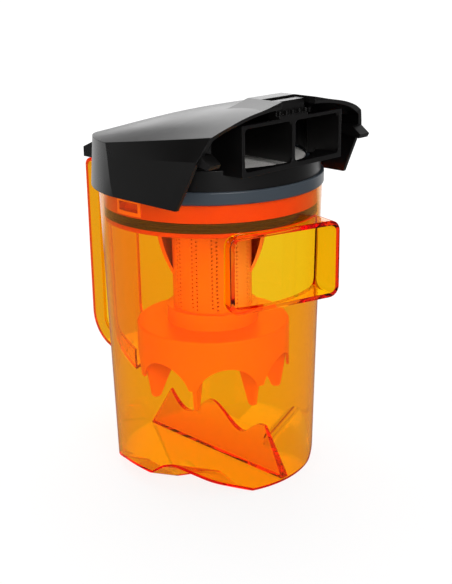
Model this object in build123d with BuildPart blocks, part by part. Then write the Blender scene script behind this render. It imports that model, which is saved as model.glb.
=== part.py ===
from build123d import *
import os
from math import cos, radians, sin, sqrt, tan

# Cyclone dust bin of a bagless vacuum cleaner, in millimetres.
# The bin's axis is Z and its foot stands on z = 0. The ports (inlet spout and outlet ducts) face -Y,
# the carrying handle and the lid's release latch are on +Y.

# Clear bin
bin_height = 187.0
bin_rim_radius = 70.0
bin_base_radius = 65.2
bin_wall = 2.0
bin_floor = 2.2
bin_foot_fillet = 3.0

# Side reliefs in the foot of the bin: corners of the wall's lower edge, as distances from the foot's
# spout side and heights, and their radii
relief_slope = 0.48
relief_edge = [
    (5.2, 1.0), (19.2, 9.2), (32.2, 16.0), (40.2, 18.8), (47.2, 16.8), (56.7, 9.8), (85.2, 9.6),
    (96.2, 6.4), (111.2, 0.5),
]
relief_radii = [25.0, 15.0, 8.0, 8.0, 5.0, 8.0, 8.0, 1.0]

# Floor baffle, a thin wavy web on the plane X = 0
baffle_crest_thickness = 1.8
baffle_foot_thickness = 6.2
baffle_wave = [(-46.5, 33.2), (-40.0, 32.4), (-27.0, 23.4), (3.0, 37.0), (19.0, 24.5), (43.0, 33.3)]
baffle_near_foot = -63.0
baffle_far_foot = 63.5

# Inlet spout, a rounded rectangular collar whose face is turned about Z and shifted along itself
spout_width = 77.0
spout_height = 48.4
spout_corner = 7.0
spout_wall = 3.0
spout_centre_z = 145.6
spout_reach = 70.6
spout_shift = 11.2
spout_turn = 15.0
spout_depth = 42.0
spout_lip_fillet = 0.6

# Handle, a channel that is open towards the fingers
handle_width = 32.0
handle_wall = 2.4
handle_stand = 37.6
handle_depth = 13.6
handle_top_rise = 3.5
handle_bridge_drop = 0.6
handle_step_stand = 7.5
handle_edge_fillet = 2.0
handle_bottom = 46.0
handle_bend_z = 64.0
handle_bend_radius = 25.0
handle_top_radius = 5.0
handle_step_run = 2.0
handle_step_fillet = 0.5
weld_gap = 0.05

# Cyclone separator: collar in the bin's mouth, perforated shroud and vaned dust skirt
slide_gap = 0.6
lid_seat_gap = 0.3
collar_height = 20.0
collar_inset = 7.5
collar_deck = 2.0
collar_groove_low = 2.6
collar_groove_height = 6.1
collar_groove_depth = 2.4
seal_gap = 0.35
window_width = 20.5
window_height = 10.0
window_frame = 2.2
window_proud = 0.4
shroud_radius = 25.5
shroud_wall = 1.8
shroud_flange_radius = 34.0
shroud_flange = 1.8
guide_radius = 35.5
guide_drop = 40.0
guide_wall = 1.8
guide_mid_swell = 3.0
guide_start = -60.0
guide_sweep = 210.0
skirt_top = 96.6
skirt_radius = 49.6
skirt_plate = 2.0
skirt_wall = 1.8
skirt_low = 64.0
skirt_hub_height = 10.4
skirt_hub_wall = 4.0
skirt_scallop_radius = 20.0
skirt_scallop_top = 78.5
skirt_edge_fillet = 1.5
vane_count = 7
vane_start = -59.7
vane_thickness = 2.4
vane_tip_z = 48.0
vane_tip_radius = 2.6
vane_tip_reach = 41.2
vane_root_radius = 17.0
press_gap = 0.02

# Filter cassette, its foam pad and its gasket
cassette_overhang = 1.0
cassette_rim_height = 7.7
cassette_rim_fillet = 0.8
cassette_well_wall = 2.0
cassette_floor = 2.0
cassette_hub_radius = 12.0
cassette_spoke = 3.0
cassette_spoke_count = 6
pad_inset = 9.2
pad_gap = 0.2
pad_top_rise = 17.6
gasket_width = 3.4
gasket_height = 2.0

# Lid base: round collar, air chamber over the pad and two outlet ducts
base_inset = 1.8
base_wall = 2.0
base_deck_rise = 20.0
base_deck = 2.4
chamber_wall = 2.0
chamber_roof = 2.0
duct_half_width = 42.6
duct_stand = 0.6
duct_mouth_lip = 0.4
duct_mouth_corner = 3.0
duct_top_rise = 46.8
duct_front_rise = 0.39
divider_thickness = 2.2
catch_half_width = 12.0
catch_height = 9.4
catch_block = 6.0
catch_depth = 9.0
catch_rib_count = 5
catch_rib = 0.9
catch_rib_height = 4.2
catch_rib_setback = 0.6
catch_ledge = 1.6

# Top cover: at stations along Y, how far the shoulder and the crease are set in from the lower edge,
# and the rises of the crease and of the crown above the bin's rim
cover_side_inset = 0.2
cover_front_gap = 1.4
cover_front_draft = 4.0
cover_front_margin = 5.6
cover_wall = 2.0
cover_low_rise = 1.2
cover_overhang = 4.3
cover_mid_y = -40.0
cover_stations = [
    (3.9, 5.5, 22.9, 24.6),
    (2.6, 3.6, 33.9, 46.8),
    (3.4, 6.0, 39.4, 53.8),
    (3.0, 11.2, 44.0, 55.2),
]
cover_shoulder_share = 0.7
cover_crown_power = 2.8
cover_crown_shares = (-1, -0.85, -0.6, -0.3, 0, 0.3, 0.6, 0.85, 1)

# Outlines at the cover's back: distances ahead of its back end, and rises above the bin's rim
cover_edge = [(25.1, 1.2), (9.5, 32.5), (5.7, 43.0), (2.2, 48.0), (0.0, 54.5)]
panel_half_width = 31.0
panel_top_half_width = 14.4
panel_length = 31.0
panel_top_length = 26.5
panel_top_rise = 57.2
notch_half_width = 14.3
notch_length = 16.0
tab_inset = 13.9
tab_width = 8.7
tab_hook = [(21.5, 33.4), (9.3, 33.4), (2.7, 28.6), (4.1, 26.2), (21.5, 29.0)]
tab_root_width = 9.3
tab_root = [(21.5, 32.4), (15.5, 31.6), (15.5, 28.0), (21.5, 29.0)]

# Screws that hold the cover to the lid base
boss_inset = 4.6
boss_radius = 2.3
boss_angles = [-150.0, -30.0, 35.0, 145.0]
screw_head_radius = 2.2
screw_head_height = 1.6
screw_shank_radius = 1.2
screw_length = 8.0

# Release latch: a rocker over the handle, on a pin between two ears of the cover
latch_half_width = 16.5
latch_wall = 2.0
latch_length = 31.0
latch_gap = 1.6
latch_low_rise = 4.3
latch_lip_rise = 11.2
latch_inner_low_rise = 8.6
latch_inner_top_rise = 24.4
latch_edge_fillet = 0.8
latch_ear_gap = 3.0
pivot_run = 16.0
pivot_rise = 11.5
pin_radius = 1.5
pin_run_gap = 0.05
pin_end_gap = 0.1
pin_seat_depth = 1.0
ear_inner = 8.0
ear_thickness = 2.6
ear_radius = 3.2
ear_bridge = 2.0
ear_bridge_run = 11.0
leg_half_width = 4.0
leg_run = 20.0
leg_thickness = 3.0
leg_drop = 3.5
slot_half_width = 5.5
slot_run = 18.4
slot_length = 9.0
spring_run = 7.0
spring_radius = 2.4
spring_wire_radius = 0.35
spring_turns = 4
spring_end_gap = 0.1

bin_slope = (bin_rim_radius - bin_base_radius) / bin_height

# Places of the lid, the latch and the handle, all from the bin's rim
cassette_radius = bin_rim_radius + cassette_overhang
base_radius = cassette_radius - base_inset
collar_inner_radius = bin_rim_radius - collar_inset
pad_radius = base_radius - pad_inset
boss_circle_radius = base_radius - boss_inset
pad_top = bin_height + pad_top_rise
base_deck_top = bin_height + base_deck_rise
duct_mouth_y = -(base_radius + duct_stand)
duct_mouth_low = base_deck_top + duct_mouth_lip
duct_top = bin_height + duct_top_rise
duct_roof_slope = (duct_top - base_deck_top - duct_front_rise) / (base_radius - duct_mouth_y)
cover_front_radius = cassette_radius + cover_front_gap + cover_wall
cover_low_half_width = cover_front_radius - cover_side_inset
cover_low = bin_height + cover_low_rise
cover_back = -(base_radius + cover_overhang)
latch_inner_y = cover_front_radius + latch_gap
latch_outer_y = latch_inner_y + latch_length
latch_low = bin_height + latch_low_rise
latch_lip_z = bin_height + latch_lip_rise
latch_inner_low = bin_height + latch_inner_low_rise
latch_inner_top = bin_height + latch_inner_top_rise
pivot_y = latch_inner_y + pivot_run
pivot_z = bin_height + pivot_rise
ear_bridge_end = latch_inner_y + ear_bridge_run
leg_inner_y = latch_inner_y + leg_run
leg_low = bin_height - leg_drop
slot_inner_y = latch_inner_y + slot_run
slot_outer_y = slot_inner_y + slot_length
spring_y = latch_inner_y + spring_run
handle_reach = bin_rim_radius + handle_stand
handle_top = bin_height + handle_top_rise
handle_bridge_top = bin_height - handle_bridge_drop
handle_step = bin_rim_radius + handle_step_stand


def bin_radius(z):
    """Outer radius of the tapered bin wall at height z."""
    return bin_base_radius + bin_slope * z


def save(node, name):
    """Label a finished piece and write it as its own STEP file."""
    node.part.label = name
    export_step(node.part, f"parts/{name}.step")


os.makedirs("parts", exist_ok=True)

# Outer envelope of the bin, which also trims what is moulded to it
with BuildPart() as bin_outer:
    with BuildSketch(Plane.XZ):
        with BuildLine():
            Polyline((0, 0), (bin_base_radius, 0), (bin_rim_radius, bin_height), (0, bin_height), close=True)
        make_face()
    revolve(axis=Axis.Z)
    fillet(bin_outer.edges().group_by(Axis.Z)[0], bin_foot_fillet)


def relief_prism(growth):
    """Prism under the sloping roof of the -X relief, grown by a wall thickness for the roof itself."""
    plane_x = bin_rim_radius

    def lifted(y, height):
        wall_x = sqrt(bin_radius(height) ** 2 - y ** 2)
        return (y, height + relief_slope * (plane_x - wall_x))

    with BuildPart() as prism:
        with BuildSketch(Plane.YZ.offset(-plane_x)):
            with BuildLine():
                corners = [lifted(ahead - bin_base_radius, height) for ahead, height in relief_edge]
                first = (corners[0][0], -plane_x * relief_slope)
                last = (corners[-1][0], -plane_x * relief_slope)
                FilletPolyline(*corners, last, radius=relief_radii)
                Polyline(last, first, corners[0])
            make_face()
            if growth:
                offset(amount=growth, kind=Kind.INTERSECTION)
        extrude(amount=plane_x, dir=(1, 0, -relief_slope))
    return prism.part


relief_cut = relief_prism(0)
relief_roof = relief_prism(bin_wall)

# Dust space: the tapered inside of the bin, kept clear of the reliefs' roofs
with BuildPart() as bin_cavity:
    with BuildSketch(Plane.XZ):
        with BuildLine():
            Polyline(
                (0, bin_floor),
                (bin_radius(bin_floor) - bin_wall, bin_floor),
                (bin_radius(2 * bin_height) - bin_wall, 2 * bin_height),
                (0, 2 * bin_height),
                close=True,
            )
        make_face()
    revolve(axis=Axis.Z)
    add(relief_roof, mode=Mode.SUBTRACT)
    add(mirror(relief_roof, about=Plane.YZ, mode=Mode.PRIVATE), mode=Mode.SUBTRACT)

spout_along = Vector(cos(radians(spout_turn)), -sin(radians(spout_turn)), 0)
spout_out = Vector(-sin(radians(spout_turn)), -cos(radians(spout_turn)), 0)
spout_plane = Plane(
    origin=spout_out * spout_reach + spout_along * spout_shift + Vector(0, 0, spout_centre_z),
    x_dir=spout_along,
    z_dir=spout_out,
)

with BuildPart() as spout_tube:
    with BuildSketch(spout_plane):
        RectangleRounded(spout_width, spout_height, spout_corner)
    extrude(amount=-spout_depth)
    fillet(spout_tube.faces().sort_by(Axis.Y)[0].edges(), spout_lip_fillet)

with BuildPart() as baffle:
    with BuildSketch(Plane.YZ):
        with BuildLine():
            crest = Spline(*baffle_wave)
            Polyline(
                crest @ 1, (baffle_far_foot, bin_floor / 2), (baffle_near_foot, bin_floor / 2), crest @ 0
            )
        make_face()
    extrude(amount=baffle_foot_thickness, both=True)
    with BuildSketch(Plane.XZ):
        with BuildLine():
            crest_z = max(z for _, z in baffle_wave)
            Polyline(
                (-baffle_foot_thickness / 2, 0),
                (-baffle_crest_thickness / 2, crest_z),
                (baffle_crest_thickness / 2, crest_z),
                (baffle_foot_thickness / 2, 0),
                close=True,
            )
        make_face()
    extrude(amount=2 * bin_rim_radius, both=True, mode=Mode.INTERSECT)
    add(bin_outer.part, mode=Mode.INTERSECT)

with BuildPart() as spout_bore:
    with BuildSketch(spout_plane.offset(spout_lip_fillet)):
        RectangleRounded(
            spout_width - 2 * spout_wall, spout_height - 2 * spout_wall, spout_corner - spout_wall
        )
    extrude(amount=-spout_depth)

with BuildPart() as bin_shell:
    add(bin_outer.part)
    add(spout_tube.part)
    add(bin_cavity.part, mode=Mode.SUBTRACT)
    add(spout_bore.part, mode=Mode.SUBTRACT)
    add(baffle.part)
    add(relief_cut, mode=Mode.SUBTRACT)
    add(mirror(relief_cut, about=Plane.YZ, mode=Mode.PRIVATE), mode=Mode.SUBTRACT)
save(bin_shell, "bin_shell")

# Handle: side outline in the plane X = 0, hollowed from the finger side, trimmed by the bin's wall
handle_inner_y = handle_reach - handle_depth
handle_root_y = bin_base_radius / 2


def handle_outline(inset):
    """Closed side outline of the handle's outer boundary, set in by a wall thickness."""
    outer = handle_reach - inset
    with BuildSketch(Plane.YZ) as outline:
        with BuildLine():
            FilletPolyline(
                (handle_root_y, handle_bridge_top - inset),
                (handle_step, handle_bridge_top - inset),
                (handle_step + handle_step_run, handle_top - inset),
                (outer, handle_top - inset),
                (outer, handle_bend_z + inset / 2),
                (handle_root_y, handle_bottom - handle_depth + inset),
                radius=[
                    handle_step_fillet, handle_step_fillet, handle_top_radius - inset / 2,
                    handle_bend_radius - inset,
                ],
            )
            Line(
                (handle_root_y, handle_bottom - handle_depth + inset),
                (handle_root_y, handle_bridge_top - inset),
            )
        make_face()
    return outline.sketch


with BuildSketch(Plane.YZ) as handle_gap:
    with BuildLine():
        FilletPolyline(
            (handle_root_y, handle_bridge_top - handle_depth),
            (handle_inner_y, handle_bridge_top - handle_depth),
            (handle_inner_y, handle_bend_z + handle_depth / 2),
            (handle_root_y, handle_bottom + handle_depth / 4),
            radius=[handle_top_radius, handle_bend_radius - handle_depth],
        )
        Line(
            (handle_root_y, handle_bottom + handle_depth / 4),
            (handle_root_y, handle_bridge_top - handle_depth),
        )
    make_face()

handle_solid_outline = handle_outline(0)
handle_core_outline = handle_outline(handle_wall)

with BuildPart() as handle:
    extrude(handle_solid_outline, amount=handle_width / 2, both=True)
    handle_rims = handle.faces().filter_by(Axis.X).edges()
    fillet(handle_rims.filter_by(lambda e: e.center().Y > handle_inner_y), handle_edge_fillet)
    extrude(handle_core_outline, amount=handle_width / 2 - handle_wall, both=True, mode=Mode.SUBTRACT)
    extrude(handle_gap.sketch, amount=handle_width, both=True, mode=Mode.SUBTRACT)
    with BuildSketch(Plane.XY.offset(handle_top)):
        with Locations((0, (slot_inner_y + slot_outer_y) / 2)):
            Rectangle(2 * slot_half_width, slot_outer_y - slot_inner_y)
    extrude(amount=-2 * handle_wall, mode=Mode.SUBTRACT)
    with BuildSketch(Plane.XZ):
        with BuildLine():
            Polyline(
                (0, 0),
                (bin_base_radius + weld_gap, 0),
                (bin_radius(2 * bin_height) + weld_gap, 2 * bin_height),
                (0, 2 * bin_height),
                close=True,
            )
        make_face()
    revolve(axis=Axis.Z, mode=Mode.SUBTRACT)
save(handle, "handle")

# Separator collar: ring in the bin's mouth with a seal groove, framed snap windows and a deck
collar_top = bin_height + lid_seat_gap
collar_low = collar_top - collar_height
collar_radius = bin_radius(collar_low) - bin_wall - slide_gap
groove_low = collar_low + collar_groove_low
groove_top = groove_low + collar_groove_height
groove_radius = collar_radius - collar_groove_depth
deck_top = collar_low + collar_deck
window_centre_z = groove_top + window_height / 2 + window_frame / 2

with BuildPart() as separator_collar:
    with BuildSketch(Plane.XZ):
        with BuildLine():
            Polyline(
                (shroud_radius - shroud_wall, collar_low),
                (collar_radius, collar_low),
                (collar_radius, groove_low),
                (groove_radius, groove_low),
                (groove_radius, groove_top),
                (collar_radius, groove_top),
                (collar_radius, collar_top),
                (collar_inner_radius, collar_top),
                (collar_inner_radius, deck_top),
                (shroud_radius - shroud_wall, deck_top),
                close=True,
            )
        make_face()
    revolve(axis=Axis.Z)
    for side in (-1, 1):
        with BuildSketch(Plane.YZ.offset(side * (collar_radius + window_proud))):
            with Locations((0, window_centre_z)):
                Rectangle(window_width, window_height)
        extrude(amount=-side * (collar_radius - collar_inner_radius) / 2)
        with BuildSketch(Plane.YZ.offset(side * (collar_radius + window_proud))):
            with Locations((0, window_centre_z)):
                Rectangle(window_width - 2 * window_frame, window_height - 2 * window_frame)
        extrude(amount=-side * (collar_radius - collar_inner_radius), mode=Mode.SUBTRACT)
    with BuildSketch(Plane.XY.offset(groove_top)):
        Circle(2 * collar_radius)
        Circle(collar_radius + window_proud, mode=Mode.SUBTRACT)
    extrude(amount=collar_height, mode=Mode.SUBTRACT)
save(separator_collar, "separator_collar")

seal_radius = bin_radius(groove_low) - bin_wall - seal_gap
with BuildPart() as collar_seal:
    with BuildSketch(Plane.XY.offset(groove_low)):
        Circle(seal_radius)
        Circle(groove_radius, mode=Mode.SUBTRACT)
    extrude(amount=collar_groove_height)
save(collar_seal, "collar_seal")

# Shroud: tube under the deck with a flange above and a flared air guide round its far side
shroud_top = collar_low
shroud_low = skirt_top
guide_low = shroud_top - guide_drop
guide_mid_z = (shroud_top + guide_low) / 2

with BuildPart() as shroud:
    with BuildSketch(Plane.XZ):
        with BuildLine():
            Polyline(
                (shroud_radius - shroud_wall, shroud_low),
                (shroud_radius, shroud_low),
                (shroud_radius, shroud_top - shroud_flange),
                (shroud_flange_radius, shroud_top - shroud_flange),
                (shroud_flange_radius, shroud_top),
                (shroud_radius - shroud_wall, shroud_top),
                close=True,
            )
        make_face()
    revolve(axis=Axis.Z)
    with BuildSketch(Plane.XZ.rotated((0, 0, guide_start))):
        with BuildLine():
            bulge = (shroud_radius + guide_radius) / 2 + guide_mid_swell
            ThreePointArc((shroud_radius, guide_low), (bulge, guide_mid_z), (guide_radius, shroud_top))
            Line((guide_radius, shroud_top), (guide_radius - guide_wall, shroud_top))
            ThreePointArc(
                (guide_radius - guide_wall, shroud_top),
                (bulge - guide_wall, guide_mid_z + guide_wall),
                (shroud_radius, guide_low + 2 * guide_wall),
            )
            Line((shroud_radius, guide_low + 2 * guide_wall), (shroud_radius, guide_low))
        make_face()
    revolve(axis=Axis.Z, revolution_arc=guide_sweep)
save(shroud, "shroud")

# Dust skirt: plate with a hub for the shroud's foot, scalloped wall and radial vanes
with BuildPart() as dust_skirt:
    with BuildSketch(Plane.XZ):
        with BuildLine():
            hub_inner = shroud_radius + press_gap
            hub_outer = hub_inner + skirt_hub_wall
            Polyline(
                (0, skirt_top - skirt_plate),
                (skirt_radius - skirt_wall, skirt_top - skirt_plate),
                (skirt_radius - skirt_wall, skirt_low),
                (skirt_radius, skirt_low),
                (skirt_radius, skirt_top),
                (hub_outer, skirt_top),
                (hub_outer, skirt_top + skirt_hub_height),
                (hub_inner, skirt_top + skirt_hub_height),
                (hub_inner, skirt_top),
                (0, skirt_top),
                close=True,
            )
        make_face()
    revolve(axis=Axis.Z)
    skirt_edges = dust_skirt.edges().filter_by(GeomType.CIRCLE).group_by(lambda e: e.radius)[-1]
    fillet(skirt_edges.sort_by(Axis.Z)[-1], skirt_edge_fillet)
    for index in range(vane_count):
        angle = vane_start - 90 + (index + 0.5) * 360 / vane_count
        with BuildSketch(Plane.YZ.rotated((0, 0, angle))):
            with Locations((0, skirt_scallop_top - skirt_scallop_radius)):
                Circle(skirt_scallop_radius)
        extrude(amount=2 * skirt_radius, mode=Mode.SUBTRACT)
    for index in range(vane_count):
        angle = vane_start - 90 + index * 360 / vane_count
        with BuildSketch(Plane.XZ.rotated((0, 0, angle))):
            with BuildLine():
                FilletPolyline(
                    (vane_root_radius, skirt_top - skirt_plate),
                    (vane_tip_reach - vane_tip_radius, vane_tip_z),
                    (vane_tip_reach + vane_tip_radius, vane_tip_z),
                    (skirt_radius - skirt_wall / 2, skirt_scallop_top),
                    (skirt_radius - skirt_wall / 2, skirt_top - skirt_plate),
                    radius=[vane_tip_radius, vane_tip_radius, vane_tip_radius],
                )
                Line(
                    (skirt_radius - skirt_wall / 2, skirt_top - skirt_plate),
                    (vane_root_radius, skirt_top - skirt_plate),
                )
            make_face()
        extrude(amount=vane_thickness / 2, both=True)
save(dust_skirt, "dust_skirt")

# Filter cassette: rim on the bin's mouth, spoked floor and a well for the pad
rim_low = collar_top
rim_top = rim_low + cassette_rim_height
well_inner = pad_radius + pad_gap
well_outer = well_inner + cassette_well_wall
floor_top = rim_low + cassette_floor

with BuildPart() as filter_cassette:
    with BuildSketch(Plane.XY.offset(rim_low)):
        Circle(cassette_radius)
        Circle(well_inner - cassette_well_wall, mode=Mode.SUBTRACT)
        Circle(cassette_hub_radius)
        with PolarLocations(well_inner / 2, cassette_spoke_count):
            Rectangle(well_inner, cassette_spoke)
    extrude(amount=cassette_floor)
    with BuildSketch(Plane.XY.offset(rim_low)):
        Circle(cassette_radius)
        Circle(well_inner, mode=Mode.SUBTRACT)
    extrude(amount=cassette_rim_height)
    with BuildSketch(Plane.XY.offset(rim_top)):
        Circle(well_outer)
        Circle(well_inner, mode=Mode.SUBTRACT)
    extrude(amount=base_deck_top - base_deck - lid_seat_gap - rim_top)
    rim_edges = filter_cassette.edges().filter_by(GeomType.CIRCLE).group_by(lambda e: e.radius)[-1]
    fillet(rim_edges, cassette_rim_fillet)
save(filter_cassette, "filter_cassette")

with BuildPart() as filter_pad:
    with BuildSketch(Plane.XY.offset(floor_top)):
        Circle(pad_radius)
    extrude(amount=pad_top - floor_top)
save(filter_pad, "filter_pad")

gasket_outer = base_radius - base_wall - pad_gap
with BuildPart() as cassette_gasket:
    with BuildSketch(Plane.XY.offset(rim_top)):
        Circle(gasket_outer)
        Circle(gasket_outer - gasket_width, mode=Mode.SUBTRACT)
    extrude(amount=gasket_height)
save(cassette_gasket, "cassette_gasket")

# Lid base
chamber_outer = well_outer
chamber_inner = well_outer - chamber_wall
deck_low = base_deck_top - base_deck
screw_places = [
    (boss_circle_radius * cos(radians(angle)), boss_circle_radius * sin(radians(angle)))
    for angle in boss_angles
]
duct_inner = duct_half_width - chamber_wall


def chamber_block(inset, low, roof_drop, back_y):
    """Air chamber with its duct box, set in by a wall, from a floor height up to the sloping roof."""
    with BuildPart() as block:
        with BuildSketch(Plane.XY.offset(low)):
            Circle(chamber_outer - inset)
            with Locations((0, back_y / 2)):
                Rectangle(2 * (duct_half_width - inset), -back_y)
        extrude(amount=duct_top - low)
        with BuildSketch(Plane.YZ):
            with BuildLine():
                back_roof = duct_top - roof_drop
                front_roof = back_roof + (duct_mouth_y - base_radius) * duct_roof_slope
                Polyline(
                    (2 * duct_mouth_y, back_roof),
                    (duct_mouth_y, back_roof),
                    (base_radius, front_roof),
                    (base_radius, 2 * duct_top),
                    (2 * duct_mouth_y, 2 * duct_top),
                    close=True,
                )
            make_face()
        extrude(amount=2 * base_radius, both=True, mode=Mode.SUBTRACT)
    return block.part


chamber_shell = chamber_block(0, deck_low, 0, duct_mouth_y)
chamber_void = chamber_block(chamber_wall, base_deck_top, chamber_roof, duct_mouth_y + chamber_wall)
divider_top = duct_top - chamber_roof / 2
mouth_width = duct_inner - divider_thickness / 2
mouth_height = duct_top - chamber_roof - duct_mouth_low
catch_pitch = 2 * (catch_half_width - catch_rib) / (catch_rib_count - 1)

with BuildPart() as lid_base:
    with BuildSketch(Plane.XY.offset(rim_top)):
        Circle(base_radius)
        Circle(base_radius - base_wall, mode=Mode.SUBTRACT)
    extrude(amount=base_deck_top - rim_top)
    with BuildSketch(Plane.XY.offset(deck_low)):
        Circle(base_radius)
    extrude(amount=base_deck)
    add(chamber_shell)
    add(chamber_void, mode=Mode.SUBTRACT)
    with BuildSketch(Plane.XY.offset(deck_low)):
        Circle(chamber_inner)
        with Locations((0, duct_mouth_y / 2)):
            Rectangle(2 * duct_inner, -duct_mouth_y)
        Circle(base_radius - 2 * base_wall, mode=Mode.INTERSECT)
    extrude(amount=base_deck, mode=Mode.SUBTRACT)
    with BuildSketch(Plane.YZ):
        with BuildLine():
            Polyline(
                (duct_mouth_y, base_deck_top),
                (chamber_inner + chamber_wall / 2, base_deck_top),
                (chamber_inner + chamber_wall / 2, base_deck_top + chamber_roof),
                (chamber_inner, divider_top + (duct_mouth_y - chamber_inner) * duct_roof_slope),
                (duct_mouth_y, divider_top),
                close=True,
            )
        make_face()
    extrude(amount=divider_thickness / 2, both=True)
    for side in (-1, 1):
        with BuildSketch(Plane.XZ.offset(-duct_mouth_y)):
            with Locations((side * (divider_thickness + mouth_width) / 2, duct_mouth_low + mouth_height / 2)):
                RectangleRounded(mouth_width, mouth_height, duct_mouth_corner)
        extrude(amount=-2 * chamber_wall, mode=Mode.SUBTRACT)
    with BuildSketch(Plane.XY.offset(duct_top - chamber_roof / 2)):
        with Locations((0, duct_mouth_y + catch_depth / 2)):
            Rectangle(2 * catch_half_width, catch_depth)
    extrude(amount=catch_ledge + chamber_roof / 2)
    with BuildSketch(Plane.XY.offset(duct_top)):
        with Locations((0, duct_mouth_y + catch_depth - catch_block / 2)):
            Rectangle(2 * catch_half_width, catch_block)
    extrude(amount=catch_height)
    with BuildSketch(Plane.XY.offset(duct_top)):
        with Locations((0, duct_mouth_y + (catch_depth - catch_block) / 2 + catch_rib_setback)):
            with GridLocations(catch_pitch, catch_depth, catch_rib_count, 1):
                Rectangle(catch_rib, catch_depth - catch_block)
    extrude(amount=catch_rib_height)
    with Locations(*[(x, y, deck_low) for x, y in screw_places]):
        Cylinder(
            screw_shank_radius + pad_gap, 2 * base_deck, align=(Align.CENTER, Align.CENTER, Align.MIN),
            mode=Mode.SUBTRACT,
        )
save(lid_base, "lid_base")


# Top cover: crowned loft along Y, rounded in plan at the front
cover_station_ys = [cover_front_radius + cover_front_margin, 0, cover_mid_y, cover_back]
cover_sections = [
    (
        y, cover_low_half_width - shoulder_inset, cover_low_half_width - crease_inset,
        bin_height + crease_rise, bin_height + crown_rise,
    )
    for y, (shoulder_inset, crease_inset, crease_rise, crown_rise) in zip(cover_station_ys, cover_stations)
]


def cover_station(y):
    """Half widths and heights of the cover's section along Y, by a curve through the stations."""
    section = [0.0] * (len(cover_sections[0]) - 1)
    for y_here, *values in cover_sections:
        share = 1.0
        for y_other, *_ in cover_sections:
            if y_other != y_here:
                share *= (y - y_other) / (y_here - y_other)
        section = [total + share * value for total, value in zip(section, values)]
    return section


def crown_height(x, y):
    """Height of the crown at a place in plan."""
    _, half, crease_z, crown_z = cover_station(y)
    return crown_z - (crown_z - crease_z) * (abs(x) / half) ** cover_crown_power


cover_top = bin_height + panel_top_rise


def cover_block(inset):
    """Crowned block of the cover, set in by a wall thickness, and then open below and behind."""
    low = cover_low - 2 * inset
    low_half = cover_low_half_width - inset
    draft = tan(radians(cover_front_draft))
    front_radius = cover_front_radius - inset + (cover_low - low) * draft
    height = cover_top - low
    with BuildPart() as plan:
        with Locations((0, 0, low)):
            Cone(
                front_radius, front_radius - height * draft, height,
                align=(Align.CENTER, Align.CENTER, Align.MIN),
            )
            Box(2 * front_radius, -2 * cover_back, height, align=(Align.CENTER, Align.MAX, Align.MIN))
    with BuildPart() as block:
        for y, shoulder, crease, crease_z, crown_z in cover_sections:
            shoulder_z = low + (crease_z - inset - low) * cover_shoulder_share
            with BuildSketch(Plane.XZ.offset(inset - y if y == cover_back else -y)):
                with BuildLine():
                    Spline(*[
                        (
                            (crease - inset) * share,
                            crown_z - inset - (crown_z - crease_z) * abs(share) ** cover_crown_power,
                        )
                        for share in cover_crown_shares
                    ])
                    Polyline(
                        (crease - inset, crease_z - inset),
                        (shoulder - inset, shoulder_z),
                        (low_half, low),
                        (-low_half, low),
                        (inset - shoulder, shoulder_z),
                        (inset - crease, crease_z - inset),
                    )
                make_face()
        loft()
        add(plan.part, mode=Mode.INTERSECT)
    return block.part


cover_envelope = cover_block(0)
cover_hollow = cover_block(cover_wall)


def at_back(outline):
    """Outline in the plane X = 0, given from the cover's back end and the bin's rim."""
    return [(cover_back + ahead, bin_height + rise) for ahead, rise in outline]


panel_front = cover_back + panel_length
panel_sections = [
    (panel_front, crown_height(panel_top_half_width, panel_front)),
    (cover_back + panel_top_length, cover_top),
    (cover_back, cover_top),
]
with BuildPart() as cover_panel:
    for y, top_z in panel_sections:
        with BuildSketch(Plane.XZ.offset(-y)):
            with BuildLine():
                edge_z = crown_height(panel_half_width, y)
                Polyline(
                    (-panel_half_width, edge_z - cover_wall),
                    (-panel_half_width, edge_z),
                    (-panel_top_half_width, top_z),
                    (panel_top_half_width, top_z),
                    (panel_half_width, edge_z),
                    (panel_half_width, edge_z - cover_wall),
                    close=True,
                )
            make_face()
    loft(ruled=True)

with BuildPart() as cover_bosses:
    with Locations(*[(x, y, base_deck_top) for x, y in screw_places]):
        Cylinder(boss_radius, cover_top, align=(Align.CENTER, Align.CENTER, Align.MIN))
    add(cover_envelope, mode=Mode.INTERSECT)
    with Locations(*[(x, y, base_deck_top) for x, y in screw_places]):
        Cylinder(screw_shank_radius + press_gap, 2 * screw_length, mode=Mode.SUBTRACT)

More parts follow.
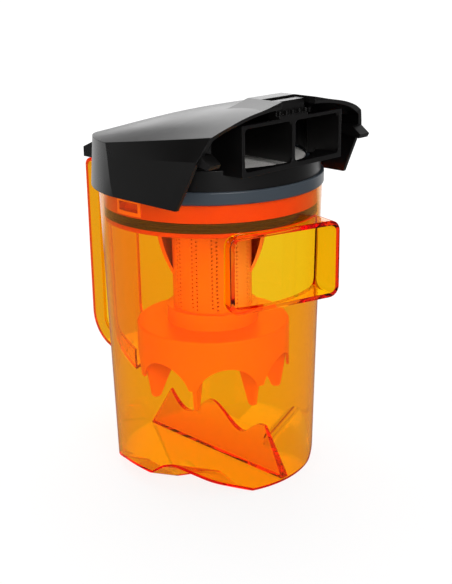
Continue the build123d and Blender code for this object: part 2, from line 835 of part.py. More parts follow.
with BuildPart() as top_cover:
    add(cover_envelope)
    add(cover_panel.part)
    add(cover_hollow, mode=Mode.SUBTRACT)
    with BuildSketch(Plane.YZ):
        with BuildLine():
            edge = at_back(cover_edge)
            Polyline((edge[0][0], 0), *edge, (2 * cover_back, edge[-1][1]), (2 * cover_back, 0), close=True)
        make_face()
    extrude(amount=2 * cover_low_half_width, both=True, mode=Mode.SUBTRACT)
    with BuildSketch(Plane.XY.offset(duct_top)):
        with Locations((0, cover_back)):
            Rectangle(2 * notch_half_width, 2 * notch_length)
    extrude(amount=cover_top, mode=Mode.SUBTRACT)
    add(cover_bosses.part)
    for side in (-1, 1):
        for outline, width in ((tab_hook, tab_width), (tab_root, tab_root_width)):
            with BuildSketch(Plane.YZ.offset(side * (cover_low_half_width - tab_inset))):
                with BuildLine():
                    Polyline(*at_back(outline), close=True)
                make_face()
            extrude(amount=side * width)
        with BuildSketch(Plane.YZ.offset(side * ear_inner)):
            with Locations(((cover_front_radius - cover_wall + pivot_y) / 2, pivot_z)):
                Rectangle(pivot_y - cover_front_radius + cover_wall, 2 * ear_radius)
            with Locations((pivot_y, pivot_z)):
                Circle(ear_radius)
                Circle(pin_radius + pin_run_gap, mode=Mode.SUBTRACT)
        extrude(amount=side * ear_thickness)
    with BuildSketch(Plane.XY.offset(pivot_z - ear_radius)):
        with Locations((0, (cover_front_radius - cover_wall / 2 + ear_bridge_end) / 2)):
            Rectangle(2 * ear_inner, ear_bridge_end - cover_front_radius + cover_wall / 2)
    extrude(amount=ear_bridge)
save(top_cover, "top_cover")

with BuildPart() as cover_screws:
    with Locations(*[(x, y, deck_low) for x, y in screw_places]):
        Cylinder(screw_head_radius, screw_head_height, align=(Align.CENTER, Align.CENTER, Align.MAX))
        Cylinder(screw_shank_radius, screw_length, align=(Align.CENTER, Align.CENTER, Align.MIN))
save(cover_screws, "cover_screws")

# Release latch: hollow wedge with a leg in the handle's slot, its pivot pin and its return spring
latch_top_slope = (latch_inner_top - latch_lip_z) / (latch_outer_y - latch_inner_y)
latch_roof_drop = latch_wall * sqrt(1 + latch_top_slope ** 2)


def latch_roof(y):
    """Height of the wedge's sloping top."""
    return latch_lip_z + (latch_outer_y - y) * latch_top_slope


with BuildPart() as release_latch:
    with BuildSketch(Plane.YZ):
        with BuildLine():
            Polyline(
                (latch_outer_y, latch_low),
                (latch_outer_y, latch_lip_z),
                (latch_inner_y, latch_inner_top),
                (latch_inner_y, latch_inner_low),
                (pivot_y, latch_low),
                close=True,
            )
        make_face()
    extrude(amount=latch_half_width, both=True)
    fillet(release_latch.faces().sort_by(Axis.Z)[-1].edges(), latch_edge_fillet)
    with BuildSketch(Plane.YZ):
        with BuildLine():
            hollow_outer = latch_outer_y - latch_wall
            hollow_inner = latch_inner_y + latch_wall
            Polyline(
                (hollow_outer, 0),
                (hollow_outer, latch_roof(hollow_outer) - latch_roof_drop),
                (hollow_inner, latch_roof(hollow_inner) - latch_roof_drop),
                (hollow_inner, pivot_z + ear_radius + latch_ear_gap),
                (0, pivot_z + ear_radius + latch_ear_gap),
                (0, 0),
                close=True,
            )
        make_face()
    extrude(amount=latch_half_width - latch_wall, both=True, mode=Mode.SUBTRACT)
    with BuildSketch(Plane.YZ):
        with BuildLine():
            leg_outer_y = leg_inner_y + leg_thickness
            Polyline(
                (leg_inner_y, leg_low),
                (leg_outer_y, leg_low),
                (leg_outer_y, latch_roof(leg_outer_y) - latch_wall / 2),
                (leg_inner_y, latch_roof(leg_inner_y) - latch_wall / 2),
                close=True,
            )
        make_face()
    extrude(amount=leg_half_width, both=True)
    with BuildSketch(Plane.YZ):
        with Locations((pivot_y, pivot_z)):
            Circle(pin_radius + press_gap)
    extrude(amount=latch_half_width - latch_wall + pin_seat_depth, both=True, mode=Mode.SUBTRACT)
save(release_latch, "release_latch")

with BuildPart() as latch_pin:
    with BuildSketch(Plane.YZ):
        with Locations((pivot_y, pivot_z)):
            Circle(pin_radius)
    extrude(amount=latch_half_width - latch_wall + pin_seat_depth - pin_end_gap, both=True)
save(latch_pin, "latch_pin")

spring_low = pivot_z - ear_radius + ear_bridge + spring_wire_radius + spring_end_gap
spring_top = latch_roof(spring_y + spring_radius) - latch_roof_drop - spring_wire_radius - spring_end_gap
with BuildPart() as latch_spring:
    with BuildLine() as coil:
        Helix(
            pitch=(spring_top - spring_low) / spring_turns,
            height=spring_top - spring_low,
            radius=spring_radius,
            center=(0, spring_y, spring_low),
        )
    with BuildSketch(Plane(origin=coil.line @ 0, z_dir=coil.line % 0)):
        Circle(spring_wire_radius)
    sweep(is_frenet=True)
save(latch_spring, "latch_spring")
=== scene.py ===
import math

import bmesh
import bpy
from mathutils import Matrix, Vector, noise


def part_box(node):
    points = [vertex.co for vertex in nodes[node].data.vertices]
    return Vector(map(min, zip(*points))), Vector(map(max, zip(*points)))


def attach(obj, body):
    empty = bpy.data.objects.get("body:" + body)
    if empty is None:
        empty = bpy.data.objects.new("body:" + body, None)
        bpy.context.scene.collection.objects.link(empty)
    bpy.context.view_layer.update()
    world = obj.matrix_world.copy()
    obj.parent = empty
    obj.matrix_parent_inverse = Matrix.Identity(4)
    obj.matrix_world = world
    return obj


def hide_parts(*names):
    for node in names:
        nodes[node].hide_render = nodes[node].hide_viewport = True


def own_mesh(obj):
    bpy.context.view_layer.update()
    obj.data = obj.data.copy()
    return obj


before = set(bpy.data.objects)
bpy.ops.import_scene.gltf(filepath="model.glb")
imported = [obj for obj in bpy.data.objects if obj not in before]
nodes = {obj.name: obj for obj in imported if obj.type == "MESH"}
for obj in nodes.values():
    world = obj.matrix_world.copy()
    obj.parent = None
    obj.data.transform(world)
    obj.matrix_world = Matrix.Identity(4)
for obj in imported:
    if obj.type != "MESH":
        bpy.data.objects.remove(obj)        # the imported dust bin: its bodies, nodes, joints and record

# Looks of a bagless cleaner's dust bin: a clear amber bin with an orange cyclone inside and a black lid.
# Everything is in metres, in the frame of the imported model.
MM = 0.001
MERGE = 0.01 * MM                                  # vertices closer than this are one
SHARP_ANGLE = math.radians(35)                     # edges that turn by more stay sharp
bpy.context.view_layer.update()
scene = bpy.context.scene


def linear(code):
    """Linear colour of an sRGB hex value."""
    shares = [int(code[at:at + 2], 16) / 255 for at in (0, 2, 4)]
    return [s / 12.92 if s <= 0.04045 else ((s + 0.055) / 1.055) ** 2.4 for s in shares] + [1.0]


def per_metre(size_mm):
    """Scale of a pattern whose features are this many millimetres across."""
    return 1 / (size_mm * MM)


def shade(tree, kind, inputs=None, **settings):
    """Add a shader node with its settings, and link or set its inputs."""
    made = tree.nodes.new("ShaderNode" + kind)
    for name, value in settings.items():
        setattr(made, name, value)
    for name, value in (inputs or {}).items():
        if isinstance(value, bpy.types.NodeSocket):
            tree.links.new(value, made.inputs[name])
        else:
            made.inputs[name].default_value = value
    return made


def blank(name):
    """An empty material and its node tree."""
    made = bpy.data.materials.new(name)
    made.use_nodes = True
    made.node_tree.nodes.clear()
    return made, made.node_tree


# Materials
AMBER_SKIN = "FFE46C"                              # tint of each clear surface that the eye looks through
AMBER_LAMP_TINT = "FFF0D0"                         # tint of the lamps' light on its way to the pieces inside
AMBER_DYE = (0.9996, 0.911, 0.08, 1.0)             # light that the dye passes, finer than a hex value can say
AMBER_IOR = 1.42                                   # matched to the object's walls, under SAN's usual 1.57
WALL_SWELL_MM = 26                                 # slow unevenness of a clear moulded wall
WALL_SWELL_DEPTH = 0.4 * MM
FLOW_MM = 40                                       # patches of a moulding that cooled alike
FLOW_TONE = 0.06                                   # how far they differ in tone
FLOW_GLOSS = 0.03                                  # how far they differ in roughness
NOISE_LOW, NOISE_HIGH = 0.3, 0.7                   # what a noise pattern mostly stays between
PLASTIC_IOR = 1.5
FRAME_HIGHLIGHT_ORANGE = "FF9A3C"                            # painted highlight on the collar's window frames, brighter than its wall
FRAME_RADIUS_MM = 67.05                            # only those frames stand out past this radius
FOAM_CELL_MM = 1.4
FOAM_CELL_DEPTH = 0.4 * MM
STEEL_GRAIN_MM = 0.6


def clear_amber(name, dye_per_metre):
    """Tinted clear SAN, polished mould: glassy skin, yellow through one wall, red along an edge."""
    made, tree = blank(name)
    place = shade(tree, "TexCoord").outputs["Object"]
    swell = shade(tree, "TexNoise", {"Vector": place, "Scale": per_metre(WALL_SWELL_MM), "Detail": 1.0})
    wave = shade(tree, "Bump", {
        "Height": swell.outputs["Fac"], "Strength": 0.05, "Distance": WALL_SWELL_DEPTH,
    })
    glass = shade(tree, "BsdfPrincipled", {
        "Base Color": linear(AMBER_SKIN), "Roughness": 0.02, "IOR": AMBER_IOR,
        "Transmission Weight": 1.0, "Normal": wave.outputs["Normal"],
    })
    lamp_tint = shade(tree, "BsdfTransparent", {"Color": linear(AMBER_LAMP_TINT)})
    ray = shade(tree, "LightPath")
    skin = shade(tree, "MixShader", {
        0: ray.outputs["Is Shadow Ray"], 1: glass.outputs["BSDF"], 2: lamp_tint.outputs["BSDF"],
    })
    dye = shade(tree, "VolumeAbsorption", {"Color": AMBER_DYE, "Density": dye_per_metre})
    shade(tree, "OutputMaterial", {"Surface": skin.outputs["Shader"], "Volume": dye.outputs["Volume"]})
    return made


def moulded(name, code, roughness, grain_mm=0.5, grain_depth_mm=0.02, edge_mm=0.35, raised=None):
    """Opaque moulded plastic: even colour, a spark-eroded grain, slightly uneven gloss, soft edges.

    The grain is drawn coarser than a real one, so that it shows. What stands out past a raised radius in
    millimetres, such as the collar's frames, gets a brighter colour of its own, a painted highlight.
    """
    made, tree = blank(name)
    place = shade(tree, "TexCoord").outputs["Object"]
    grain = shade(tree, "TexNoise", {"Vector": place, "Scale": per_metre(grain_mm), "Detail": 2.0})
    flow = shade(tree, "TexNoise", {"Vector": place, "Scale": per_metre(FLOW_MM), "Detail": 2.0})
    dye = linear(code)
    if raised:
        highlight_code, radius_mm = raised
        level = shade(tree, "VectorMath", {0: place, 1: (1, 1, 0)}, operation="MULTIPLY")
        radius = shade(tree, "VectorMath", {0: level.outputs["Vector"]}, operation="LENGTH")
        outside = shade(tree, "Math", {
            0: radius.outputs["Value"], 1: radius_mm * MM,
        }, operation="GREATER_THAN")
        # Past that radius the colour is a painted highlight, brighter than the wall
        dye = shade(tree, "MixRGB", {
            "Fac": outside.outputs["Value"], "Color1": dye, "Color2": linear(highlight_code),
        }).outputs["Color"]
    tone = shade(tree, "MixRGB", {
        "Fac": FLOW_TONE, "Color1": dye, "Color2": flow.outputs["Fac"],
    }, blend_type="OVERLAY")
    gloss = shade(tree, "MapRange", {
        "Value": flow.outputs["Fac"], "From Min": NOISE_LOW, "From Max": NOISE_HIGH,
        "To Min": roughness - FLOW_GLOSS, "To Max": roughness + FLOW_GLOSS,
    })
    edge = shade(tree, "Bevel", {"Radius": edge_mm * MM}, samples=6)
    bump = shade(tree, "Bump", {
        "Height": grain.outputs["Fac"], "Strength": 0.25, "Distance": grain_depth_mm * MM,
        "Normal": edge.outputs["Normal"],
    })
    skin = shade(tree, "BsdfPrincipled", {
        "Base Color": tone.outputs["Color"], "Roughness": gloss.outputs["Result"], "IOR": PLASTIC_IOR,
        "Normal": bump.outputs["Normal"],
    })
    shade(tree, "OutputMaterial", {"Surface": skin.outputs["BSDF"]})
    return made


def foam():
    """Reticulated polyurethane foam, cut: pale grey open cells, with painted shade darkening their pores."""
    made, tree = blank("pale_polyurethane_foam")
    place = shade(tree, "TexCoord").outputs["Object"]
    cells = shade(tree, "TexVoronoi", {
        "Vector": place, "Scale": per_metre(FOAM_CELL_MM),
    }, feature="DISTANCE_TO_EDGE")
    shaded_pores = shade(tree, "ValToRGB", {"Fac": cells.outputs["Distance"]})
    strand, pore = shaded_pores.color_ramp.elements
    strand.color = linear("F2F0EC")
    pore.position = 0.5
    # The pores' darker grey is painted shade in the cells' hollows
    pore.color = linear("CFCBC5")
    bump = shade(tree, "Bump", {
        "Height": cells.outputs["Distance"], "Strength": 0.6, "Distance": FOAM_CELL_DEPTH,
    }, invert=True)
    skin = shade(tree, "BsdfPrincipled", {
        "Base Color": shaded_pores.outputs["Color"], "Roughness": 0.95, "Normal": bump.outputs["Normal"],
    })
    shade(tree, "OutputMaterial", {"Surface": skin.outputs["BSDF"]})
    return made


def zinc_steel():
    """Zinc plated steel: bright grey metal with a fine drawn grain."""
    made, tree = blank("zinc_plated_steel")
    place = shade(tree, "TexCoord").outputs["Object"]
    streak = shade(tree, "TexNoise", {"Vector": place, "Scale": per_metre(STEEL_GRAIN_MM), "Detail": 3.0})
    gloss = shade(tree, "MapRange", {"Value": streak.outputs["Fac"], "To Min": 0.22, "To Max": 0.42})
    skin = shade(tree, "BsdfPrincipled", {
        "Base Color": linear("C8C9CB"), "Metallic": 1.0, "Roughness": gloss.outputs["Result"],
    })
    shade(tree, "OutputMaterial", {"Surface": skin.outputs["BSDF"]})
    return made


# Dyed SAN from a polished mould: clear, yellow through one wall, orange through more, red at its edges
amber = clear_amber("clear_amber_san", dye_per_metre=1200.0)
# The same with less dye: the handle's thicker walls stay as pale as the bin's
pale_amber = clear_amber("clear_pale_amber_san", dye_per_metre=700.0)
# ABS from an eroded mould: the cyclone's even satin orange
orange = moulded("orange_abs", "FF9030", roughness=0.4)
# ABS from a smoother mould: the cyclone's orange with painted shade, darker and redder on the collar under
# the lid, and a painted highlight, brighter on its window frames
shaded_orange = moulded("shaded_orange_abs", "D84A10", roughness=0.36, raised=(FRAME_HIGHLIGHT_ORANGE, FRAME_RADIUS_MM))
# ABS with a satin skin and rounder edges: black, with a grey sheen where it mirrors the white sweep
black = moulded("black_abs", "0C0B0B", roughness=0.3, grain_mm=0.45, edge_mm=0.5)
# Polypropylene from the same kind of mould: a bluish dark grey with a soft sheen
slate = moulded("slate_polypropylene", "3F474F", roughness=0.3)
# EPDM rubber, moulded: dull dark brown with a coarser skin
rubber = moulded("seal_epdm_rubber", "33231B", roughness=0.5, grain_mm=0.6, grain_depth_mm=0.03)
pad_foam = foam()
steel = zinc_steel()

finishes = {
    "bin_shell": amber, "handle": pale_amber,
    "separator_collar": shaded_orange, "shroud": orange, "dust_skirt": orange,
    "collar_seal": rubber, "cassette_gasket": rubber,
    "filter_cassette": slate, "filter_pad": pad_foam,
    "lid_base": black, "top_cover": black, "release_latch": black,
    "cover_screws": steel, "latch_pin": steel, "latch_spring": steel,
}
for name, finish in finishes.items():
    nodes[name].data.materials.clear()
    nodes[name].data.materials.append(finish)


# New pieces, each in place of a CAD node of the lid
def as_piece(name, shape, node):
    """Finish a shape as a piece of the lid that stands for a CAD node."""
    mesh = bpy.data.meshes.new(name)
    shape.to_mesh(mesh)
    shape.free()
    mesh.materials.append(finishes[node])
    mesh.shade_smooth()
    mesh.set_sharp_from_angle(angle=SHARP_ANGLE)
    piece = bpy.data.objects.new(name, mesh)
    scene.collection.objects.link(piece)
    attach(piece, "lid")
    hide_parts(node)
    return piece


def turned(shape, outline, steps, start=0.0, sweep=2 * math.pi):
    """Turn a closed outline of (radius, height) about Z into a solid, with flat ends on a part turn."""
    whole = sweep >= 2 * math.pi
    corners = [shape.verts.new((r, 0, z)) for r, z in outline]
    ring = [shape.edges.new((a, b)) for a, b in zip(corners, corners[1:] + corners[:1])]
    bmesh.ops.rotate(shape, verts=corners, cent=(0, 0, 0), matrix=Matrix.Rotation(start, 3, "Z"))
    made = bmesh.ops.spin(shape, geom=corners + ring, cent=(0, 0, 0), axis=(0, 0, 1), angle=sweep,
                          steps=steps, use_merge=whole)
    if not whole:
        last = [part for part in made["geom_last"] if isinstance(part, bmesh.types.BMEdge)]
        bmesh.ops.contextual_create(shape, geom=ring)
        bmesh.ops.contextual_create(shape, geom=last)


# Shroud: its tube, its rows of holes and the air guide round its far side
TUBE_RADIUS = 25.5 * MM
TUBE_WALL = 1.8 * MM
FLANGE_RADIUS = 34.0 * MM
FLANGE_STEPS = 96
GUIDE_DROP = 40.0 * MM
GUIDE_RADIUS = 35.5 * MM
GUIDE_BULGE = 3.0 * MM
GUIDE_START = math.radians(-60)
GUIDE_SWEEP = math.radians(210)
GUIDE_POINTS = 9
GUIDE_STEPS = 56
BAND_COUNT = 12                                    # bands of two staggered columns of holes
BAND_TURN = math.radians(20)
BAND_HALF = 7.0                                    # degrees from the middle of a band to its edge
BAND_LINES = (-BAND_HALF, 0.0, BAND_HALF, 12.3, 17.7)      # degrees from the middle, up to the next band
LINE_RISES = (0.0, 0.5, 1.0, 0.67, 0.33)           # shares of the pitch, which stagger the columns
HOLE_PITCH = 2.6 * MM
HOLE_RADIUS = 0.66 * MM
HOLE_MARGIN = 0.5 * MM
HOLE_LOW, HOLE_HIGH = 109 * MM, 164 * MM
SPARE_ROWS = 2                                     # rows past the tube's ends, to be trimmed off
ROW_START = 1.4                                    # of them below the tube, so that no row lies on its end


def perforated_tube(shape, low, top):
    """Tube wall with bands of round holes through it, from a grid that is rolled up."""
    columns = BAND_COUNT * len(BAND_LINES)
    rows = math.ceil((top - low) / HOLE_PITCH) + SPARE_ROWS
    half = 0.5
    bmesh.ops.create_grid(shape, x_segments=columns, y_segments=rows, size=half)
    for vert in shape.verts:
        band, line = divmod(round((vert.co.x + half) * columns), len(BAND_LINES))
        angle = BAND_TURN + 2 * math.pi * band / BAND_COUNT + math.radians(BAND_LINES[line])
        height = low + (round((vert.co.y + half) * rows) - ROW_START + LINE_RISES[line]) * HOLE_PITCH
        vert.co = (TUBE_RADIUS * math.cos(angle), TUBE_RADIUS * math.sin(angle), height)
    bmesh.ops.remove_doubles(shape, verts=shape.verts, dist=MERGE)
    holes = []
    for face in shape.faces:
        middle = face.calc_center_median()
        turn = math.degrees(math.atan2(middle.y, middle.x) - BAND_TURN) % (360 / BAND_COUNT)
        in_band = min(turn, 360 / BAND_COUNT - turn) < BAND_HALF
        if in_band and HOLE_LOW < middle.z < HOLE_HIGH:
            holes.append(face)
    bmesh.ops.inset_individual(shape, faces=holes, thickness=HOLE_MARGIN)
    bmesh.ops.bisect_edges(shape, edges=list({edge for face in holes for edge in face.edges}), cuts=1)
    for face in holes:
        middle = face.calc_center_median()
        for vert in face.verts:
            vert.co = middle + (vert.co - middle).normalized() * HOLE_RADIUS
    bmesh.ops.delete(shape, geom=holes, context="FACES_ONLY")
    for height, way in ((low, -1), (top, 1)):
        bmesh.ops.bisect_plane(shape, geom=shape.verts[:] + shape.edges[:] + shape.faces[:],
                               plane_co=(0, 0, height), plane_no=(0, 0, way), clear_outer=True)
    bmesh.ops.dissolve_degenerate(shape, dist=MERGE, edges=shape.edges)
    bmesh.ops.recalc_face_normals(shape, faces=shape.faces)
    bmesh.ops.solidify(shape, geom=shape.faces[:], thickness=TUBE_WALL)


def guide_outline(top):
    """Flared section of the air guide, from the tube's wall up to the flange: two parabolas, a wall apart."""
    low = top - GUIDE_DROP
    middle_z = (top + low) / 2
    bulge = (TUBE_RADIUS + GUIDE_RADIUS) / 2 + GUIDE_BULGE
    sides = []
    for inset in (0, TUBE_WALL):
        foot = (TUBE_RADIUS, low + 2 * inset)
        waist = (bulge - inset, middle_z + inset)
        head = (GUIDE_RADIUS - inset, top)
        line = []
        for at in range(GUIDE_POINTS):
            t = at / (GUIDE_POINTS - 1)
            weights = ((1 - t) * (1 - 2 * t), 4 * t * (1 - t), t * (2 * t - 1))
            line.append([sum(w * p[i] for w, p in zip(weights, (foot, waist, head))) for i in (0, 1)])
        sides.append(line)
    return sides[0] + sides[1][::-1]


def perforated_shroud():
    """Orange shroud: perforated tube, flange under the collar and flared air guide."""
    low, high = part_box("shroud")
    top = high[2]
    tube_inner = TUBE_RADIUS - TUBE_WALL
    shape = bmesh.new()
    perforated_tube(shape, low[2], top)
    turned(shape, [
        (tube_inner, top - TUBE_WALL), (FLANGE_RADIUS, top - TUBE_WALL),
        (FLANGE_RADIUS, top), (tube_inner, top),
    ], FLANGE_STEPS)
    turned(shape, guide_outline(top), GUIDE_STEPS, GUIDE_START, GUIDE_SWEEP)
    bmesh.ops.recalc_face_normals(shape, faces=shape.faces)
    as_piece("perforated_shroud", shape, "shroud")


# Seal of the collar
SEAL_DEPTH = 2.7 * MM
SEAL_LIP = 0.5 * MM                                # softening of each lip's corners
SEAL_GROOVE = 0.7 * MM
SEAL_LIP_SHARE = 0.36                              # of the seal's height
SEAL_STEPS = 144


def lip_seal():
    """Rubber seal of the collar: a ring with two soft lips against the bin's wall."""
    low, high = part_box("collar_seal")
    foot, head = low[2], high[2]
    outer = high[0]
    inner, groove = outer - SEAL_DEPTH, outer - SEAL_GROOVE
    lip_height = (head - foot) * SEAL_LIP_SHARE
    shape = bmesh.new()
    turned(shape, [
        (inner, foot), (outer - SEAL_LIP, foot), (outer, foot + SEAL_LIP),
        (outer, foot + lip_height - SEAL_LIP), (groove, foot + lip_height),
        (groove, head - lip_height), (outer, head - lip_height + SEAL_LIP),
        (outer, head - SEAL_LIP), (outer - SEAL_LIP, head), (inner, head),
    ], SEAL_STEPS)
    bmesh.ops.recalc_face_normals(shape, faces=shape.faces)
    as_piece("lip_seal", shape, "collar_seal")


# Foam filter
PAD_RIM = 2.0 * MM
PAD_RIM_SHARE = 0.3                                # where a rim's slope changes, from its corner
PAD_RINGS = 16
PAD_STEPS = 72
PAD_SINK = 0.4 * MM                                # room under the CAD top for the uneven one
PAD_SWELL = 0.35 * MM
PAD_SWELL_MM = 9


def foam_filter():
    """Round foam filter, cut from sheet: softened rims and a slightly uneven top."""
    low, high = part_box("filter_pad")
    radius, foot, head = high[0], low[2], high[2] - PAD_SINK
    flat = radius - PAD_RIM
    slope = PAD_RIM * PAD_RIM_SHARE
    outline = [(0, foot), (flat, foot), (radius - slope, foot + slope), (radius, foot + PAD_RIM),
               (radius, head - PAD_RIM), (radius - slope, head - slope)]
    outline += [(flat * ring / PAD_RINGS, head) for ring in range(PAD_RINGS, -1, -1)]
    shape = bmesh.new()
    corners = [shape.verts.new((r, 0, z)) for r, z in outline]
    line = [shape.edges.new(pair) for pair in zip(corners, corners[1:])]
    bmesh.ops.spin(shape, geom=corners + line, cent=(0, 0, 0), axis=(0, 0, 1), angle=2 * math.pi,
                   steps=PAD_STEPS, use_merge=True)
    bmesh.ops.remove_doubles(shape, verts=shape.verts, dist=MERGE)
    bmesh.ops.recalc_face_normals(shape, faces=shape.faces)
    for vert in shape.verts:
        if vert.co.z > head - PAD_RIM / 2:
            vert.co.z += PAD_SWELL * noise.noise(vert.co * per_metre(PAD_SWELL_MM))
    piece = as_piece("foam_filter", shape, "filter_pad")


# Return spring of the latch
WIRE_RADIUS = 0.35 * MM
WIRE_SIDES = 8
SPRING_TURNS = 4
TURN_STEPS = 24


def coil_spring():
    """Steel return spring under the latch: round wire in open turns."""
    low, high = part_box("latch_spring")
    coil = (high[0] - low[0]) / 2 - WIRE_RADIUS
    middle_y = (low[1] + high[1]) / 2
    steps = SPRING_TURNS * TURN_STEPS
    rise = (high[2] - low[2] - 2 * WIRE_RADIUS) / steps
    shape = bmesh.new()
    bmesh.ops.create_circle(shape, segments=WIRE_SIDES, radius=WIRE_RADIUS)
    bmesh.ops.rotate(shape, verts=shape.verts, cent=(0, 0, 0), matrix=Matrix.Rotation(math.pi / 2, 3, "X"))
    bmesh.ops.translate(shape, verts=shape.verts, vec=(coil, middle_y, low[2] + WIRE_RADIUS))
    first = shape.edges[:]
    made = bmesh.ops.spin(shape, geom=shape.verts[:] + first, cent=(0, middle_y, 0), axis=(0, 0, 1),
                          dvec=(0, 0, rise), angle=2 * math.pi * SPRING_TURNS, steps=steps)
    last = [part for part in made["geom_last"] if isinstance(part, bmesh.types.BMEdge)]
    bmesh.ops.contextual_create(shape, geom=first)
    bmesh.ops.contextual_create(shape, geom=last)
    bmesh.ops.recalc_face_normals(shape, faces=shape.faces)
    piece = as_piece("coil_spring", shape, "latch_spring")
    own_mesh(piece)


perforated_shroud()
lip_seal()
foam_filter()
coil_spring()


# Stage: a white sweep, soft lamps and the camera of the photograph. Levels are shares of white.
FLOOR_HALF = 6.0
FLOOR_DROP = 0.2 * MM
FLOOR_GREY = "616161"                              # what it gives back of the lamps' light
FLOOR_NEAR, FLOOR_FAR = 0.2, 0.9                   # from the bin, where it looks greyest and whitest
FLOOR_NEAR_LEVEL, FLOOR_FAR_LEVEL = 0.85, 1.0
FLOOR_THROUGH = 0.66                               # seen through clear plastic
SHEEN_WAY = (0.64, 0.77, 0.0)                      # to the part that edges and glancing walls mirror
SHEEN_NEAR, SHEEN_FAR = 0.48, 0.62                 # along that way, where the mirrored floor turns bright
SHEEN_DIM, SHEEN_BRIGHT = 0.02, 0.8
SWEEP_WAY = (0.68, 0.69, 0.25)                     # from the bin to the middle of the white sweep behind it
SWEEP_EDGE, SWEEP_MIDDLE = 0.3, 0.95               # cosines of the angle to that way
SWEEP_DIM, SWEEP_BRIGHT = 0.015, 0.6               # mirrored by gloss
SWEEP_THROUGH = 0.7                                # seen through clear plastic
ROOM_LIGHT = 0.64                                  # on dull surfaces, from all round
LAMP_AIM = (0, 0, 0.14)                            # the bin's middle
CAMERA_PLACE = (-0.4693, -0.4860, 0.3330)
CAMERA_RIGHT = (0.7071, -0.7071, -0.0143)
CAMERA_FORWARD = (0.6692, 0.6754, -0.3097)
CAMERA_LENS = 67.44                                # millimetres
CAMERA_CLIP = 0.01


def floor():
    """A wide white floor under the bin: it looks white, and keeps a faint shadow."""
    made, tree = blank("white_floor")
    ray = shade(tree, "LightPath")
    place = shade(tree, "TexCoord").outputs["Object"]
    behind = shade(tree, "VectorMath", {0: place, 1: SHEEN_WAY}, operation="DOT_PRODUCT")
    sheen = shade(tree, "MapRange", {
        "Value": behind.outputs["Value"], "From Min": SHEEN_NEAR, "From Max": SHEEN_FAR,
        "To Min": SHEEN_DIM, "To Max": SHEEN_BRIGHT,
    })
    through = shade(tree, "MapRange", {
        "Value": ray.outputs["Is Transmission Ray"],
        "To Min": sheen.outputs["Result"], "To Max": FLOOR_THROUGH,
    })
    indirect = shade(tree, "Math", {
        0: ray.outputs["Is Glossy Ray"], 1: through.outputs["Result"],
    }, operation="MULTIPLY")
    away = shade(tree, "VectorMath", {0: place}, operation="LENGTH")
    seen = shade(tree, "MapRange", {
        "Value": away.outputs["Value"], "From Min": FLOOR_NEAR, "From Max": FLOOR_FAR,
        "To Min": FLOOR_NEAR_LEVEL, "To Max": FLOOR_FAR_LEVEL,
    })
    glow = shade(tree, "Math", {
        0: ray.outputs["Is Camera Ray"], 1: seen.outputs["Result"], 2: indirect.outputs["Value"],
    }, operation="MULTIPLY_ADD")
    lit = shade(tree, "BsdfDiffuse", {"Color": linear(FLOOR_GREY)})
    white = shade(tree, "Emission", {"Strength": glow.outputs["Value"]})
    both = shade(tree, "AddShader", {0: lit.outputs["BSDF"], 1: white.outputs["Emission"]})
    shade(tree, "OutputMaterial", {"Surface": both.outputs["Shader"]})
    shape = bmesh.new()
    bmesh.ops.create_grid(shape, x_segments=1, y_segments=1, size=FLOOR_HALF)
    bmesh.ops.translate(shape, verts=shape.verts, vec=(0, 0, -FLOOR_DROP))
    mesh = bpy.data.meshes.new("floor")
    shape.to_mesh(mesh)
    shape.free()
    mesh.materials.append(made)
    sheet = bpy.data.objects.new("floor", mesh)
    scene.collection.objects.link(sheet)


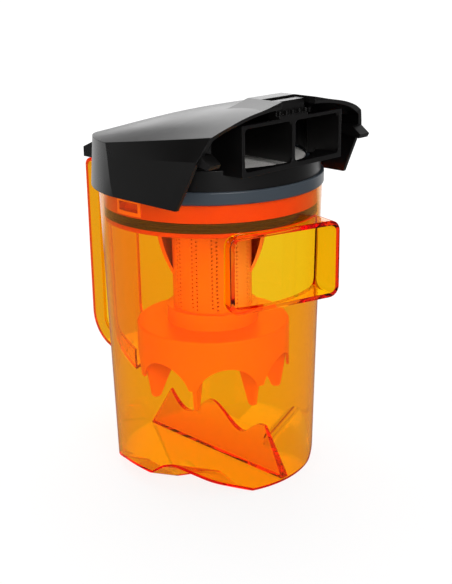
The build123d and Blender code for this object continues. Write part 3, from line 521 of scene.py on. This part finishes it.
def surroundings():
    """White where the eye or clear plastic looks out; gloss shows a white sweep behind and a dim room."""
    world = bpy.data.worlds.new("studio")
    world.use_nodes = True
    tree = world.node_tree
    tree.nodes.clear()
    ray = shade(tree, "LightPath")
    way = shade(tree, "TexCoord").outputs["Generated"]
    facing = shade(tree, "VectorMath", {0: way, 1: SWEEP_WAY}, operation="DOT_PRODUCT")
    sweep = shade(tree, "MapRange", {
        "Value": facing.outputs["Value"], "From Min": SWEEP_EDGE, "From Max": SWEEP_MIDDLE,
        "To Min": SWEEP_DIM, "To Max": SWEEP_BRIGHT,
    }, interpolation_type="SMOOTHSTEP")
    lights = shade(tree, "MapRange", {
        "Value": ray.outputs["Is Glossy Ray"], "To Min": ROOM_LIGHT, "To Max": sweep.outputs["Result"],
    })
    through = shade(tree, "MapRange", {
        "Value": ray.outputs["Is Transmission Ray"],
        "To Min": lights.outputs["Result"], "To Max": SWEEP_THROUGH,
    })
    strength = shade(tree, "Math", {
        0: ray.outputs["Is Camera Ray"], 1: through.outputs["Result"],
    }, operation="MAXIMUM")
    sky = shade(tree, "Background", {"Color": linear("FFFFFF"), "Strength": strength.outputs["Value"]})
    shade(tree, "OutputWorld", {"Surface": sky.outputs["Background"]})
    scene.world = world


def softbox(name, azimuth, elevation, distance, size, power):
    """A square soft lamp in a direction from the bin's middle, in degrees, turned to the bin."""
    across = math.cos(math.radians(elevation))
    way = Vector((
        across * math.cos(math.radians(azimuth)), across * math.sin(math.radians(azimuth)),
        math.sin(math.radians(elevation)),
    ))
    lamp = bpy.data.lights.new(name, "AREA")
    lamp.shape = "SQUARE"
    lamp.size = size
    lamp.energy = power
    holder = bpy.data.objects.new(name, lamp)
    holder.location = Vector(LAMP_AIM) + way * distance
    holder.rotation_euler = (-way).to_track_quat("-Z", "Y").to_euler()
    scene.collection.objects.link(holder)


def photo_camera():
    """The camera of the photograph: its place, its axes and its lens."""
    forward = Vector(CAMERA_FORWARD).normalized()
    up = Vector(CAMERA_RIGHT).cross(forward).normalized()
    right = forward.cross(up)
    lens = bpy.data.cameras.new("camera")
    lens.lens = CAMERA_LENS
    lens.clip_start = CAMERA_CLIP
    holder = bpy.data.objects.new("camera", lens)
    turn = Matrix((right, up, -forward)).transposed().to_4x4()
    holder.matrix_world = Matrix.Translation(CAMERA_PLACE) @ turn
    scene.collection.objects.link(holder)
    scene.camera = holder


floor()
surroundings()
softbox("top_box", azimuth=54, elevation=69, distance=1.05, size=0.9, power=10)
softbox("back_box", azimuth=45, elevation=24, distance=1.7, size=0.9, power=4)
softbox("front_box", azimuth=-116, elevation=22, distance=1.2, size=0.6, power=7)
softbox("left_box", azimuth=-172, elevation=8, distance=1.2, size=0.5, power=3)
photo_camera()
scene.view_settings.view_transform = "Standard"

# Light runs far along the clear walls before it leaves them
scene.cycles.max_bounces = 128
scene.cycles.glossy_bounces = 96
scene.cycles.transmission_bounces = 64
